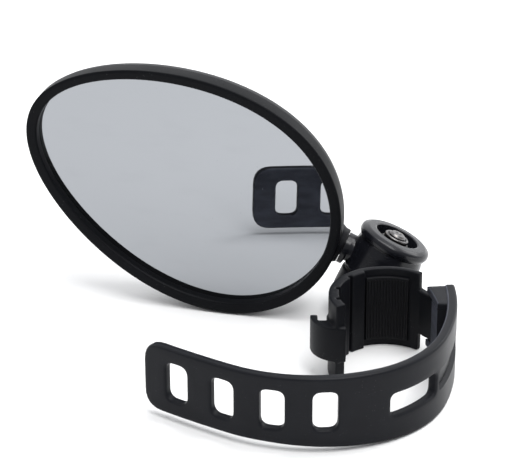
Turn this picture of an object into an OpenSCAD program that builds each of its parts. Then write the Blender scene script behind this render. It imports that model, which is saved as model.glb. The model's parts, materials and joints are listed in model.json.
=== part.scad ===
// Bicycle handlebar mirror: an egg-shaped mirror head on a short swivel arm,
// a half-round handlebar clamp and a perforated silicone strap that closes it.
// Z runs along the handlebar, X to the right and Y to the back; the origin is on
// the handlebar's axis at the middle of the clamp.

/* [Handlebar clamp] */
// Diameter of the handlebar that the grip lands seat on
bar_d = 28; // [26:0.5:30]
// Height of the clamp along the bar
clamp_h = 25.7; // [24:0.1:28]
// Wall of the clamp behind the grip lands
clamp_wall = 1.8; // [1.6:0.1:2.2]
// Height of a grip land above the wall
land_h = 1.2; // [1:0.1:1.4]
// Height of the hook that takes the strap
hook_h = 11.2; // [10:0.1:11.4]
// Height of the lug that carries the strap
lug_h = 14.4; // [13:0.1:15]

/* [Knuckle] */
// Diameter of the knuckle's cap
cap_d = 22.4; // [22:0.1:22.8]
// Thickness of the knuckle's cap
cap_t = 3.7; // [3.5:0.1:4]
// Diameter of the knuckle's barrel under the cap
barrel_d = 21.6; // [21.2:0.1:21.8]
// Height of the whole knuckle
barrel_h = 14.6; // [14.4:0.1:15]
// Diameter of the round recess for the lock nut
recess_d = 13.6; // [13:0.1:14]
// Lean of the pivot bolt from the handlebar's direction
bolt_lean = 26; // [24:1:28]

/* [Arm] */
// Diameter of the arm's neck
neck_d = 8.6; // [8.4:0.1:8.7]
// Length of the neck, from the bolt's axis to the mirror's socket
neck_len = 13; // [12.6:0.1:13.4]
// Diameter of the journal inside the mirror's socket
journal_d = 6.8; // [6.4:0.1:7]

/* [Mirror head] */
// Half length of the opening in the bezel
view_a = 47.4; // [46:0.1:48.6]
// Half width of the opening in the bezel
view_b = 32; // [31:0.1:33]
// How much wider the outer end of the egg is than its middle
egg_k = 0.17; // [0.12:0.01:0.2]
// Width of the bezel's front face
bezel_w = 3.3; // [3:0.1:3.6]
// Height of the bezel's lip above the mirror
lip_h = 3.4; // [2.6:0.1:3.6]
// Depth of the housing behind the mirror
head_depth = 15; // [14:0.1:16]
// Turn of the mirror about the handlebar's direction
head_turn = 13.3; // [12:0.1:15]
// Backward tilt of the mirror
head_tilt = 2.8; // [2:0.1:4]

/* [Strap] */
// Width of the strap
strap_w = 21.2; // [20:0.1:22]
// Thickness of the strap
strap_t = 3; // [2.6:0.1:3.2]
// Distance between adjustment slots
slot_pitch = 15.1; // [14.5:0.1:15.5]
// Width of an adjustment slot
slot_w = 7.2; // [6.5:0.1:7.5]
// Height of an adjustment slot
slot_h = 12; // [11.7:0.1:12.3]

/* [Hidden] */
$fn = 72;

eps = 0.01;
run_gap = 0.05;          // running clearance between turning pieces
move_gap = 0.3;          // free space between parts that pass each other

// ---- clamp
seat_r = bar_d/2;
wall_in = seat_r + land_h;
wall_out = wall_in + clamp_wall;
end_left = 209;          // angle of the clamp's left end
end_right = 50;          // angle of the clamp's right end
land_ends = [[115, 133], [137.5, 164.5], [169.5, 190], [194.5, end_left]];
pad_ends = [62, 112];
pad_h = clamp_h - 5;
web_h = 14;              // height of the web under the knuckle

// ---- knuckle frame: origin in the cap's top, Z along the pivot bolt
knuckle_pos = [4.7, 37.5, 12.2];
knuckle_rot = [0, bolt_lean, 13];
neck_drop = 10.2;        // neck's axis below the cap's top
neck_turn = 155;         // neck's direction around the bolt
sleeve_d = 9;            // the neck's thicker end, set a little lower than its axis
sleeve_drop = 1.3;
sleeve_len = 1.8;
washer_t = 0.8;
boss_top = -barrel_h - washer_t - 2*run_gap;
boss_h = 6.4;
recess_depth = 5;
bolt_d = 5;
bolt_head_h = 3.4;
nut_af = 8;
nut_h = 4;

// ---- mirror head frame: origin in the mirror's face, Z out of it, X to the right
head_pos = [-60, 42.3, 27.9];
head_rot = [90 - head_tilt, 0, -head_turn];
egg_turn = -22.8;        // slope of the egg's long axis
glass_t = 2;
foam_t = 1;
plate_t = 1.2;
glass_lap = 1;           // how far the mirror reaches under the bezel's lip
shell_t = 1.8;
shell_front = -glass_t;

// ---- socket along the neck, measured from the bolt's axis
socket_d = 14.4;
socket_len = 11;
journal_len = 8;
bush_t = 1.2;
collar_t = 0.6;
screw_d = 3;
screw_room = 9;          // free space round the screw's head

// ---- strap path, measured on its outer face from the tip
tip_pos = [-69.4, -23.7];
tip_heading = 36;
tip_margin = 7.5;
tip_round = 6;
path_runs = [[28, -6], [44, -53], [30, -48], [31, -24]];     // length and turn of each run
path_len = run_start(len(path_runs));
window_span = [75.5, 94];
groove_span = [95.5, 124];
groove_h = 7;
groove_depth = 1.2;
lug_tip = [16.8, 5];
lug_r = 2;
lug_t = 2.2;
root_len = 12;           // the strap's thick end that snaps over the lug
root_depth = 5.7;
mouth = [80, 172];       // the opening in the root that the lug swings in
flare = 2.2;             // how much deeper the strap's lower edge is at the root
flare_run = 45;          // distance over which it falls, along X from flare_start
flare_start = -35;

// ================= helpers

module sector(r, a0, a1, h) {
    step = (a1 - a0)/12;
    linear_extrude(height = h, center = true)
        polygon(concat([[0, 0]], [for (i = [0:12]) r*1.5*[cos(a0 + i*step), sin(a0 + i*step)]]));
}

module ring_sector(r_in, r_out, a0, a1, h) {
    intersection() {
        difference() {
            cylinder(r = r_out, h = h, center = true, $fn = 180);
            cylinder(r = r_in, h = h + 1, center = true, $fn = 180);
        }
        sector(r_out, a0, a1, h + 2);
    }
}

module in_knuckle() {
    translate(knuckle_pos) rotate(knuckle_rot) children();
}

module in_neck() {
    in_knuckle() translate([0, 0, -neck_drop]) rotate([0, 0, neck_turn]) rotate([0, 90, 0]) children();
}

module in_head() {
    translate(head_pos) rotate(head_rot) children();
}

// A tube standing on z = 0
module tube(r_out, r_in, h) {
    difference() {
        cylinder(r = r_out, h = h);
        translate([0, 0, -1]) cylinder(r = r_in, h = h + 2);
    }
}

// Point of the egg at parameter t, with its outline moved outwards by off
function egg_point(off, t) =
    [(view_a + off)*cos(t), (view_b + off)*sin(t)*(1 + egg_k*cos(t))];

module egg(off) {
    rotate([0, 0, egg_turn]) polygon([for (i = [0:71]) egg_point(off, i*5)]);
}

// A slab with the egg's outline between two heights
module egg_slab(off, z0, z1) {
    translate([0, 0, z0]) linear_extrude(height = z1 - z0) egg(off);
}

// A closed dish lofted through rings given as [offset, height], front first
module egg_dish(rings) {
    n = 72;
    points = concat(
        [for (r = rings) for (i = [0:n - 1]) let (p = egg_point(r[0], i*360/n)) [p[0], p[1], r[1]]],
        [[0, 0, rings[0][1]]],
        [[0, 0, rings[len(rings) - 1][1]]]
    );
    front = len(rings)*n;
    back = front + 1;
    last = (len(rings) - 1)*n;
    sides = [for (j = [0:len(rings) - 2]) for (i = [0:n - 1]) let (k = (i + 1) % n)
        [j*n + i, j*n + k, (j + 1)*n + k, (j + 1)*n + i]];
    caps = concat(
        [for (i = [0:n - 1]) [front, (i + 1) % n, i]],
        [for (i = [0:n - 1]) [back, last + i, last + (i + 1) % n]]
    );
    rotate([0, 0, egg_turn]) polyhedron(points = points, faces = concat(sides, caps), convexity = 4);
}

// Heading and point of the strap's outer face at distance s from the tip
function run_start(k) = k == 0 ? 0 : run_start(k - 1) + path_runs[k - 1][0];
function run_of(s, k = 0) = k == len(path_runs) - 1 || s < run_start(k + 1) ? k : run_of(s, k + 1);
function run_heading(k) = k == 0 ? tip_heading : run_heading(k - 1) + path_runs[k - 1][1];
function heading(s) =
    let (k = run_of(s)) run_heading(k) + path_runs[k][1]*(s - run_start(k))/path_runs[k][0];
function arc_step(s, k) =
    let (r = path_runs[k][0]/path_runs[k][1]*180/PI, h0 = run_heading(k), h1 = heading(s))
    r*[sin(h1) - sin(h0), cos(h1) - cos(h0)];
function run_point(k) = k == 0 ? tip_pos : run_point(k - 1) + arc_full(k - 1);
function arc_full(k) =
    let (r = path_runs[k][0]/path_runs[k][1]*180/PI, h0 = run_heading(k), h1 = h0 + path_runs[k][1])
    r*[sin(h1) - sin(h0), cos(h1) - cos(h0)];
function path_point(s) = let (k = run_of(s)) run_point(k) + arc_step(s, k);
function path_inward(s) = [sin(heading(s)), cos(heading(s))];

// Everything in children, placed at distance s along the strap: X along it, Y inwards, Z up
module on_strap(s) {
    translate([path_point(s)[0], path_point(s)[1], 0]) rotate([0, 0, -heading(s)]) children();
}

// A band along the strap between s0 and s1, from depth d0 to d1 under its outer face
module strap_band(s0, s1, d0, d1, h) {
    n = ceil((s1 - s0)/3);
    outer = [for (i = [0:n]) let (s = s0 + (s1 - s0)*i/n) path_point(s) + d0*path_inward(s)];
    inner = [for (i = [n:-1:0]) let (s = s0 + (s1 - s0)*i/n) path_point(s) + d1*path_inward(s)];
    linear_extrude(height = h, center = true) polygon(concat(outer, inner));
}

// ================= clamp

module seat_ring() {
    ring_sector(wall_in, wall_out, end_right, end_left, clamp_h);
    for (a = land_ends) ring_sector(seat_r, wall_in + 0.2, a[0], a[1], clamp_h);
}

// The hook that the strap's slots drop over: a round back, and a gap behind its toe
module hook() {
    difference() {
        intersection() {
            translate([-13.5, 0.5, 0]) cylinder(r = 8.8, h = hook_h, center = true);
            translate([-23, -9, -hook_h/2]) cube([11, 9.4, hook_h]);
        }
        translate([-20.1, -2.8, -hook_h/2 - 1]) cube([2.6, 4, hook_h + 2]);
        cylinder(r = seat_r, h = 2*hook_h, center = true, $fn = 180);
    }
}

// The flat lug that leads from the clamp's right end into the strap's root
module lug() {
    root = [9.4, 14];
    along = lug_tip - root;
    turn = atan2(along[1], along[0]);
    translate([root[0], root[1], 0]) rotate([0, 0, turn])
        translate([0, -lug_t/2, -lug_h/2]) cube([norm(along), lug_t, lug_h]);
    translate([lug_tip[0], lug_tip[1], 0]) cylinder(r = lug_r, h = lug_h, center = true);
}

// The boss that the arm turns on, and the bridge that carries it
module boss() {
    in_knuckle() {
        translate([0, 0, boss_top - boss_h]) cylinder(d = barrel_d, h = boss_h);
        translate([-7, -20.5, boss_top - boss_h]) cube([15, 20.5, boss_h]);
    }
}

// The web between the clamp's back and the knuckle
module back_web() {
    translate([-1, 10, -clamp_h/2 + 2]) cube([11, 20, web_h]);
}

// The space that the knuckle turns in
module knuckle_room() {
    in_knuckle() {
        translate([0, 0, boss_top]) cylinder(d = barrel_d + 2*move_gap, h = 40);
        translate([0, 0, -cap_t - move_gap]) cylinder(d = cap_d + 2*move_gap, h = 40);
    }
}

module clamp_saddle() {
    color([0.10, 0.10, 0.11])
    difference() {
        union() {
            seat_ring();
            hook();
            lug();
            difference() {
                union() {
                    boss();
                    back_web();
                }
                cylinder(r = wall_out - 0.6, h = 80, center = true, $fn = 180);
            }
        }
        knuckle_room();
        in_knuckle() {
            translate([0, 0, boss_top - boss_h - 1]) cylinder(d = bolt_d, h = boss_h + 2);
            translate([0, 0, boss_top - boss_h - 20]) cylinder(d = nut_af/cos(30), h = 20 + bolt_head_h, $fn = 6);
        }
    }
}

module grip_pad() {
    color([0.07, 0.07, 0.07])
    ring_sector(seat_r, wall_in, pad_ends[0], pad_ends[1], pad_h);
}

// ================= pivot hardware

module pivot_bolt() {
    color([0.75, 0.76, 0.78])
    in_knuckle() {
        translate([0, 0, boss_top - boss_h]) cylinder(d = nut_af/cos(30) - 0.1, h = bolt_head_h, $fn = 6);
        translate([0, 0, boss_top - boss_h]) cylinder(d = bolt_d, h = boss_h - boss_top + 0.2);
        translate([0, 0, 0.2]) cylinder(d1 = bolt_d, d2 = bolt_d - 1, h = 0.6);
    }
}

module friction_washer() {
    color([0.85, 0.85, 0.80])
    in_knuckle() translate([0, 0, boss_top]) tube(barrel_d/2 - 0.6, bolt_d/2, washer_t);
}

module nut_washer() {
    color([0.70, 0.71, 0.73])
    in_knuckle() translate([0, 0, -recess_depth + run_gap]) tube(5.4, bolt_d/2, 1);
}

module lock_nut() {
    color([0.72, 0.73, 0.75])
    in_knuckle() difference() {
        union() {
            translate([0, 0, -recess_depth + run_gap + 1]) cylinder(d = nut_af/cos(30), h = nut_h - 1, $fn = 6);
            translate([0, 0, -recess_depth + run_gap + 1]) cylinder(d = nut_af, h = nut_h - 0.1);
        }
        translate([0, 0, -recess_depth]) cylinder(d = bolt_d, h = nut_h + 2);
    }
}

// ================= arm

module swivel_arm() {
    color([0.13, 0.13, 0.14])
    difference() {
        union() {
            in_knuckle() {
                translate([0, 0, -barrel_h]) cylinder(d = barrel_d, h = barrel_h - cap_t + eps);
                translate([0, 0, -cap_t]) rotate_extrude($fn = 120) cap_profile();
            }
            in_neck() {
                cylinder(d = neck_d, h = neck_len);
                translate([sleeve_drop, 0, neck_len - sleeve_len]) cylinder(d = sleeve_d, h = sleeve_len);
                cylinder(d = journal_d, h = neck_len + journal_len);
            }
        }
        in_knuckle() {
            translate([0, 0, -recess_depth]) cylinder(d = recess_d, h = recess_depth + 1);
            translate([0, 0, -barrel_h - 1]) cylinder(d = bolt_d + 2*run_gap, h = barrel_h + 2);
        }
        in_neck() translate([0, 0, neck_len - 2]) cylinder(d = screw_d, h = journal_len + 3);
    }
}

// Half section of the cap: a flat underside, a round edge and a crowned top
module cap_profile() {
    edge = 2.2;
    r = cap_d/2;
    polygon(concat(
        [[0, 0], [r - 0.5, 0], [r, 0.5]],
        [for (a = [0:10:90]) [r - edge + edge*cos(a), cap_t - edge + edge*sin(a)]],
        [[0, cap_t]]
    ));
}

module neck_screw() {
    head_at = neck_len + socket_len + run_gap;
    color([0.70, 0.71, 0.73])
    in_neck() difference() {
        union() {
            translate([0, 0, neck_len + 1]) cylinder(d = screw_d, h = socket_len);
            translate([0, 0, head_at + 0.8]) cylinder(d = 5.6, h = 2);
        }
        translate([0, 0, head_at + 1.8]) for (a = [0, 90]) rotate([0, 0, a])
            translate([-2, -0.45, 0]) cube([4, 0.9, 3]);
    }
}

module neck_washer() {
    color([0.78, 0.79, 0.80])
    in_neck() translate([0, 0, neck_len + socket_len + run_gap]) tube(3.6, screw_d/2, 0.8);
}

// ================= mirror head

module neck_socket() {
    bore = journal_d/2 + run_gap + bush_t;
    color([0.12, 0.12, 0.13])
    in_neck() difference() {
        union() {
            translate([0, 0, neck_len + move_gap]) cylinder(r = bore + collar_t, h = 2);
            translate([0, 0, neck_len + 1]) cylinder(d = socket_d, h = socket_len - 1);
        }
        translate([0, 0, neck_len]) cylinder(r = bore, h = journal_len + run_gap + 0.5);
        cylinder(d = screw_d + 2*run_gap, h = 40);
    }
}

module friction_bush() {
    color([0.80, 0.80, 0.76])
    in_neck() translate([0, 0, neck_len + move_gap + 0.2])
        tube(journal_d/2 + run_gap + bush_t, journal_d/2 + run_gap, journal_len - 0.5);
}

module back_shell() {
    lip = 0.3;
    color([0.14, 0.14, 0.15])
    difference() {
        in_head() difference() {
            egg_dish([[bezel_w - 0.1, shell_front], [bezel_w - 0.7, -5], [bezel_w - 2, -8],
                      [bezel_w - 4.1, -11], [bezel_w - 8, -13.4], [bezel_w - 15, -head_depth + 0.3],
                      [bezel_w - 22, -head_depth]]);
            egg_dish([[glass_lap + lip, 1], [glass_lap + lip, -glass_t - foam_t - plate_t],
                      [glass_lap - 1.4, -glass_t - foam_t - plate_t - 0.01], [glass_lap - 1.8, -7.4],
                      [bezel_w - 6.2, -10.2], [bezel_w - 10.5, -12],
                      [bezel_w - 16, -head_depth + shell_t]]);
        }
        in_neck() {
            cylinder(d = socket_d, h = neck_len + socket_len);
            cylinder(d = screw_room, h = neck_len + socket_len + 4);
        }
    }
}

// The space that the neck's socket takes behind the mirror
module socket_notch() {
    in_neck() {
        cylinder(d = socket_d + 2*run_gap, h = neck_len + socket_len + run_gap);
        cylinder(d = screw_room, h = neck_len + socket_len + 4);
    }
}

module carrier_plate() {
    color([0.20, 0.20, 0.21])
    difference() {
        in_head() egg_slab(glass_lap, -glass_t - foam_t - plate_t, -glass_t - foam_t);
        socket_notch();
    }
}

module foam_pad() {
    color([0.55, 0.55, 0.52])
    difference() {
        in_head() egg_slab(glass_lap - 1, -glass_t - foam_t, -glass_t);
        socket_notch();
    }
}

module mirror_glass() {
    color([0.80, 0.82, 0.85])
    in_head() egg_slab(glass_lap, -glass_t, 0);
}

module bezel_ring() {
    color([0.11, 0.11, 0.12])
    in_head() difference() {
        egg_slab(bezel_w, shell_front, lip_h);
        egg_slab(0, -glass_t - 1, lip_h + 1);
        egg_slab(glass_lap, -glass_t - 1, 0);
    }
}

// ================= strap

module slot_hole(h) {
    r = 2.6;
    rotate([90, 0, 0]) linear_extrude(height = 20, center = true) union() {
        square([slot_w - 2*r, h], center = true);
        square([slot_w, h - 2*r], center = true);
        for (x = [-1, 1]) for (y = [-1, 1]) translate([x*(slot_w/2 - r), y*(h/2 - r)]) circle(r = r);
    }
}

// The corner that is cut off the strap's tip
module tip_corner() {
    rotate([90, 0, 0]) linear_extrude(height = 20, center = true) difference() {
        translate([-1, 0]) square([tip_round + 1, tip_round + 1]);
        translate([tip_round, 0]) circle(r = tip_round);
    }
}

// The strap's lower edge, which falls towards the root
module strap_flare() {
    deep = strap_w/2 + flare;
    difference() {
        translate([0, 0, -deep/2]) strap_band(30, path_len, 0, strap_t, deep);
        translate([flare_start, 0, -strap_w/2]) rotate([0, atan(flare/flare_run), 0])
            translate([-50, -90, -20]) cube([200, 180, 20]);
    }
}

module strap() {
    root_s = path_len - root_len;
    lug_room = lug_h + 2*move_gap;
    color([0.16, 0.17, 0.18])
    difference() {
        union() {
            strap_band(0, path_len, 0, strap_t, strap_w);
            strap_flare();
            strap_band(root_s, path_len, strap_t - 0.5, root_depth, strap_w - 1.2);
        }
        for (i = [0:3]) on_strap(tip_margin + slot_w/2 + i*slot_pitch) slot_hole(slot_h);
        on_strap(0) for (m = [0, 1]) mirror([0, 0, m]) translate([0, 0, strap_w/2 - tip_round]) tip_corner();
        translate([0, 0, -flare/2]) {
            strap_band(window_span[0], window_span[1], -1, strap_t + 1, groove_h);
            strap_band(groove_span[0], groove_span[1], -1, groove_depth, groove_h);
        }
        translate([lug_tip[0], lug_tip[1], 0]) cylinder(r = lug_r + run_gap, h = lug_room, center = true);
        intersection() {
            translate([lug_tip[0], lug_tip[1], 0]) sector(9, mouth[0], mouth[1], lug_room);
            strap_band(root_s - 6, path_len + 1, strap_t - 0.2, 9, strap_w);
        }
    }
}

clamp_saddle();
grip_pad();
pivot_bolt();
friction_washer();
nut_washer();
lock_nut();
swivel_arm();
neck_screw();
neck_washer();
neck_socket();
friction_bush();
back_shell();
carrier_plate();
foam_pad();
mirror_glass();
bezel_ring();
strap();
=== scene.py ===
"""Looks of a bicycle handlebar mirror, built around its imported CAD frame.

Lengths in this script are millimetres until a mesh is made, and then metres. The frame is the
CAD's: Z along the handlebar, X to the right, Y to the back, the origin on the handlebar's axis.
"""

import json
import logging
import math
from collections.abc import Callable, Sequence
from dataclasses import dataclass, field
from enum import Enum
from functools import cached_property

import bmesh
import bpy
import numpy as np
from mathutils import Euler, Matrix, Vector, geometry


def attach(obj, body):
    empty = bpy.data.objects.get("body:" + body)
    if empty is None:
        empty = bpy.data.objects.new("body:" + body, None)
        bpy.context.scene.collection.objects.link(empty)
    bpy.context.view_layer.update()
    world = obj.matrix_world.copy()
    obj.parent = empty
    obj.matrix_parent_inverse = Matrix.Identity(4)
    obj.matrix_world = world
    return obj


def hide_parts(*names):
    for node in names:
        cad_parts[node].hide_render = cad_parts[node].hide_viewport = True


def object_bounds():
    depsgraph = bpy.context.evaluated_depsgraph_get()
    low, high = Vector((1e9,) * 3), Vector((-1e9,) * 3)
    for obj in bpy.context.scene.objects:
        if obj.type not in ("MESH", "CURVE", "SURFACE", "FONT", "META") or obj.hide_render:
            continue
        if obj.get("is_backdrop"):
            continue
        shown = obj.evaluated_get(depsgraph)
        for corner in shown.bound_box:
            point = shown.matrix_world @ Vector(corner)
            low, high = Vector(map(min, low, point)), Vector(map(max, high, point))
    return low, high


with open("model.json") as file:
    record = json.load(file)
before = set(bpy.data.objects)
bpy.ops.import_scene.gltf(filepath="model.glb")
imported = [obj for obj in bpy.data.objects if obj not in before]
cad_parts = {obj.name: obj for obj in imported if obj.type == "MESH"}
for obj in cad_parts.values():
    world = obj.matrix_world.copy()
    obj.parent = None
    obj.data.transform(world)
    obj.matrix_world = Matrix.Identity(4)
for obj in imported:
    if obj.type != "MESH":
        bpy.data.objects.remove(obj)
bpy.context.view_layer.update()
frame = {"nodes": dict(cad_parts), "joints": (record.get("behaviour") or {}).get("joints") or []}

MM = 0.001
TURNS = 96  # points round a turned piece
CORNER_STEPS = 6  # steps round a softened corner
MESH_MERGE = 1e-7  # metres within which points of a built mesh are one
CAD_MERGE = 2e-6  # the same for the CAD's loose triangles
DUST = (0.35, 0.35, 0.36)
TARNISH = (0.42, 0.30, 0.20)
log = logging.getLogger("bike_mirror")


class Body(Enum):
    """The CAD bodies that pieces ride on."""

    CLAMP = "clamp"
    ARM = "arm"
    HEAD = "head"
    STRAP = "strap"


# ---------------------------------------------------------------- shader expressions


class Value:
    """A shader number. Using it in an expression adds Math nodes to its graph."""

    def __init__(self, graph: "Graph", socket: bpy.types.NodeSocket) -> None:
        """Wraps an output socket of that graph."""
        self.graph = graph
        self.socket = socket

    def _math(self, operation: str, left: "Number", right: "Number") -> "Value":
        """Adds one Math node and returns its result."""
        node = self.graph.node("ShaderNodeMath", {"operation": operation}, {0: left, 1: right})
        return Value(self.graph, node.outputs[0])

    def __add__(self, other: "Number") -> "Value":
        """Sum."""
        return self._math("ADD", self, other)

    def __radd__(self, other: "Number") -> "Value":
        """Sum with a plain number on the left."""
        return self._math("ADD", other, self)

    def __sub__(self, other: "Number") -> "Value":
        """Difference."""
        return self._math("SUBTRACT", self, other)

    def __rsub__(self, other: "Number") -> "Value":
        """Difference from a plain number."""
        return self._math("SUBTRACT", other, self)

    def __mul__(self, other: "Number") -> "Value":
        """Product."""
        return self._math("MULTIPLY", self, other)

    def __rmul__(self, other: "Number") -> "Value":
        """Product with a plain number on the left."""
        return self._math("MULTIPLY", other, self)

    def between(self, low: float, high: float) -> "Value":
        """A smooth mask: 0 below low, 1 above high. With low above high it falls instead."""
        inputs = {"Value": self, "From Min": low, "From Max": high}
        node = self.graph.node("ShaderNodeMapRange", {"interpolation_type": "SMOOTHSTEP"}, inputs)
        return Value(self.graph, node.outputs["Result"])


Number = Value | float
Colour = tuple[float, float, float]


class Tree:
    """A node tree, with the one method that adds nodes to it."""

    def __init__(self, tree: bpy.types.NodeTree) -> None:
        """Wraps that tree."""
        self.tree = tree

    def node(self, kind: str, settings: dict, inputs: dict) -> bpy.types.Node:
        """Adds a node.

        Args:
            kind: The node's type.
            settings: Its own properties, which are set first.
            inputs: Values or links for its sockets, by name or number.

        Returns:
            The new node.
        """
        node = self.tree.nodes.new(kind)
        for key, value in settings.items():
            setattr(node, key, value)
        for key, value in inputs.items():
            self.feed(node.inputs[key], value)
        return node

    def feed(self, socket: bpy.types.NodeSocket, value: object) -> None:
        """Links a value or socket to that input, or sets the input's own value."""
        source = value.socket if isinstance(value, Value) else value
        if isinstance(source, bpy.types.NodeSocket):
            self.tree.links.new(source, socket)
        else:
            socket.default_value = source


class Graph(Tree):
    """The node tree of one new material with a Principled shader."""

    def __init__(self, name: str) -> None:
        """Makes the material and its Object coordinates."""
        self.material = bpy.data.materials.new(name)
        self.material.use_nodes = True
        super().__init__(self.material.node_tree)
        self.shader = self.tree.nodes["Principled BSDF"]
        self.coordinates = self.node("ShaderNodeTexCoord", {}, {}).outputs["Object"]

    def noise(self, size: float, detail: float = 2.0, stretch: Colour = (1, 1, 1)) -> Value:
        """Noise whose features are about that many millimetres wide.

        Args:
            size: Width of a feature in millimetres.
            detail: Octaves of finer noise.
            stretch: How much shorter the features are along X, Y and Z.

        Returns:
            The noise, between 0 and 1.
        """
        scaled = self.node("ShaderNodeMapping", {}, {"Vector": self.coordinates, "Scale": stretch})
        inputs = {"Vector": scaled.outputs[0], "Scale": 1 / (size * MM), "Detail": detail}
        return Value(self, self.node("ShaderNodeTexNoise", {}, inputs).outputs[0])

    def cells(self, size: float) -> Value:
        """Distance to the nearest point of a random scatter that many millimetres apart."""
        inputs = {"Vector": self.coordinates, "Scale": 1 / (size * MM)}
        return Value(self, self.node("ShaderNodeTexVoronoi", {}, inputs).outputs["Distance"])

    def attribute(self, name: str) -> Value:
        """A number that the mesh carries under that name."""
        settings = {"attribute_type": "GEOMETRY", "attribute_name": name}
        return Value(self, self.node("ShaderNodeAttribute", settings, {}).outputs["Fac"])

    def blend(self, mask: Number, first: object, second: object) -> bpy.types.NodeSocket:
        """A colour between two colours.

        Args:
            mask: 0 for the first colour, 1 for the second.
            first: A colour or a colour socket.
            second: A colour or a colour socket.

        Returns:
            The mixed colour's socket.
        """
        pair = [(*c, 1.0) if isinstance(c, tuple) else c for c in (first, second)]
        node = self.node("ShaderNodeMix", {"data_type": "RGBA"}, {0: mask, 6: pair[0], 7: pair[1]})
        return node.outputs[2]

    def bump(self, height: Value, depth: float) -> None:
        """Raises the surface by that height, where 1 stands for depth millimetres."""
        inputs = {"Height": height, "Distance": depth * MM, "Strength": 1.0}
        self.feed(self.shader.inputs["Normal"], self.node("ShaderNodeBump", {}, inputs).outputs[0])

    def surface(self, **sockets: object) -> None:
        """Feeds the Principled shader's sockets, with underscores for the spaces in their names."""
        for name, value in sockets.items():
            self.feed(self.shader.inputs[name.replace("_", " ")], value)


def shade(colour: Colour, factor: float) -> Colour:
    """That colour, times the factor."""
    return tuple(channel * factor for channel in colour)


# ---------------------------------------------------------------- finishes


@dataclass(frozen=True)
class Finish:
    """What every finish has: its material's name, its slot in the record and its colour."""

    name: str
    slot: str
    colour: Colour

    @cached_property
    def material(self) -> bpy.types.Material:
        """The finish's material, made on first use."""
        graph = Graph(self.name)
        self.paint(graph)
        return graph.material

    def paint(self, graph: Graph) -> None:
        """Adds the finish's own nodes to a new material."""
        raise NotImplementedError


@dataclass(frozen=True)
class Moulded(Finish):
    """A moulded polymer or rubber: eroded grain, a cloudy tone, fine scuffs and settled dust."""

    roughness: float
    specular: float = 0.45
    grain_size: float = 0.3
    grain_depth: float = 0.012
    wave_depth: float = 0.02
    dust: float = 0.25
    # How many times lighter the inner side is painted, as painted light; 1 paints none.
    inner_tone: float = 1.0
    cloud_size: float = 9.0
    wave_size: float = 4.0

    def paint(self, graph: Graph) -> None:
        """Adds the grain, the tones, the scuffs, the painted light on the inner side and the dust."""
        grain = graph.noise(self.grain_size, 3)
        cloud = graph.noise(self.cloud_size, 3)
        scuff = graph.noise(2.2, 4, (1, 1, 9)).between(0.62, 0.72) * graph.noise(7).between(0.45, 0.6)
        speck = graph.cells(0.9).between(0.13, 0.05) * graph.noise(5, 1).between(0.5, 0.65)
        tone = graph.blend(cloud, shade(self.colour, 0.75), shade(self.colour, 1.3))
        scuffed_and_lit_side = graph.blend(scuff * 0.35, tone, shade(self.colour, 2.6))
        # Painted light: the faces marked inner_side are painted lighter, in streaks, for the light and
        # highlights that side catches.
        if self.inner_tone != 1:
            lit_side_streaks = 0.6 + 0.4 * graph.noise(6, 4, (1, 1, 3)).between(0.3, 0.7)
            lit_side_colour = graph.blend(cloud, shade(self.colour, 4), shade(self.colour, self.inner_tone))
            scuffed_and_lit_side = graph.blend(lit_side_streaks * graph.attribute("inner_side"), scuffed_and_lit_side, lit_side_colour)
        dusty = graph.blend(speck * self.dust, scuffed_and_lit_side, DUST)
        graph.surface(
            Base_Color=dusty,
            Roughness=(self.roughness - 0.06) + 0.12 * cloud + 0.1 * scuff,
            Specular_IOR_Level=self.specular,
        )
        ratio = self.wave_depth / self.grain_depth
        graph.bump(grain + ratio * graph.noise(self.wave_size, 1), self.grain_depth)


@dataclass(frozen=True)
class Plated(Finish):
    """Zinc-plated or passivated steel, brushed by turning, with a dull bloom."""

    roughness: float

    def paint(self, graph: Graph) -> None:
        """Adds the bloom, the turning marks and the tarnish."""
        bloom = graph.noise(1.6, 4)
        turned = graph.noise(0.5, 3, (1, 1, 14))
        stain = graph.noise(1.1, 3).between(0.58, 0.75)
        tone = graph.blend(bloom, shade(self.colour, 0.7), shade(self.colour, 1.15))
        graph.surface(
            Base_Color=graph.blend(stain * 0.4, tone, TARNISH),
            Roughness=self.roughness + 0.14 * bloom + 0.1 * turned,
            Metallic=1.0,
        )
        graph.bump(turned + 0.6 * bloom, 0.008)


@dataclass(frozen=True)
class Silvered(Finish):
    """The mirror: silvered behind a clear face, with faint wiping haze and a few dust specks."""

    roughness: float

    def paint(self, graph: Graph) -> None:
        """Adds the haze and the specks."""
        haze = graph.noise(14, 4, (1, 1, 3)).between(0.5, 0.8)
        speck = graph.cells(2.6).between(0.05, 0.02) * graph.noise(11, 1).between(0.5, 0.6)
        tint = graph.blend(haze * 0.5, self.colour, shade(self.colour, 0.95))
        graph.surface(
            Base_Color=graph.blend(speck * 0.5, tint, shade(self.colour, 0.6)),
            Roughness=self.roughness + 0.025 * haze + 0.3 * speck,
            Metallic=1.0,
        )


@dataclass(frozen=True)
class Cellular(Finish):
    """Closed-cell foam: small round pores in a matt skin."""

    def paint(self, graph: Graph) -> None:
        """Adds the pores, sunk by the bump and painted darker inside as painted shade."""
        pores = graph.cells(0.5)
        # The pores' middles are painted darker: painted shade in the pits.
        tone = graph.blend(pores, shade(self.colour, 0.6), self.colour)
        graph.surface(Base_Color=tone, Roughness=0.85 + 0.1 * graph.noise(2))
        graph.bump(pores, 0.12)


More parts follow.
